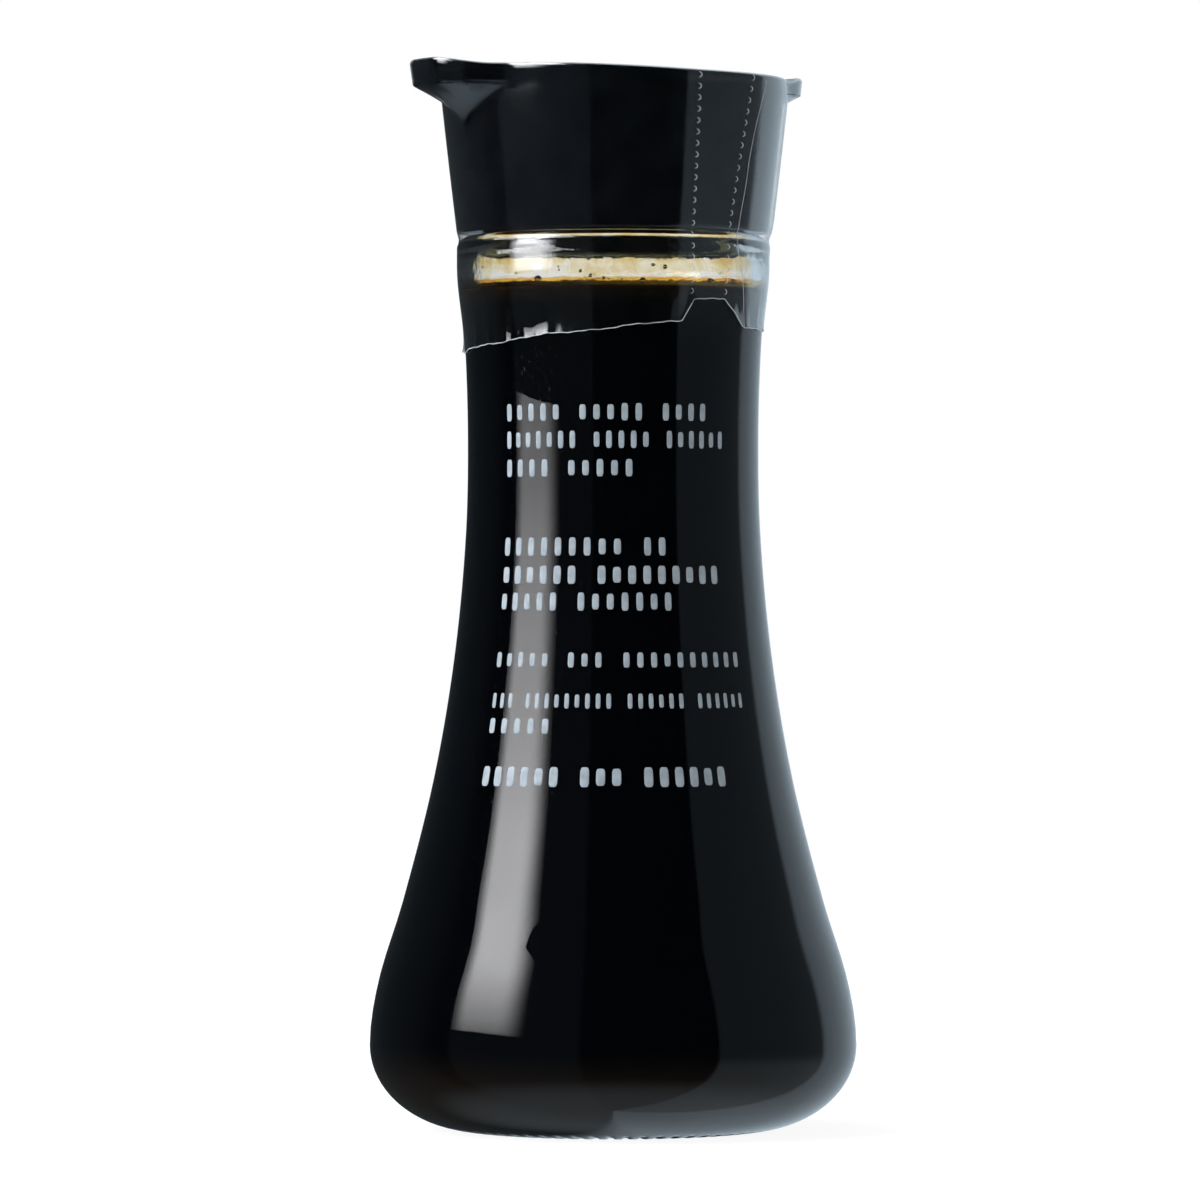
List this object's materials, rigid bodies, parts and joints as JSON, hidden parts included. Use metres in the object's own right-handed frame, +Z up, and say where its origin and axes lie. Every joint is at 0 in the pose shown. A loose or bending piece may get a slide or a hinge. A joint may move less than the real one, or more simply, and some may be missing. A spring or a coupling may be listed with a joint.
{
  "type": "soy sauce bottle",
  "caption": "Clear glass table bottle of soy sauce with a waisted body, a black pourer cap with a lip on each side, and a torn clear shrink band",
  "frame": {"origin": "Middle of the base, on the plane that the bottle stands on", "axes": "+Z is up along the bottle's axis; the main pouring lip points along -X and the second lip along +X; the printed side faces between -X and -Y, 60 degrees from the main lip"},
  "size_m": [0.063, 0.063, 0.138],
  "materials": {
    "clear_glass": "polished",
    "dark_sauce": "polished",
    "black_plastic": "gloss",
    "clear_film": "gloss"
  },
  "bodies": {
    "root": {"glass_bottle": "clear_glass", "soy_sauce": "dark_sauce", "pourer_cap": "black_plastic", "shrink_band": "clear_film"}
  },
  "joints": []
}
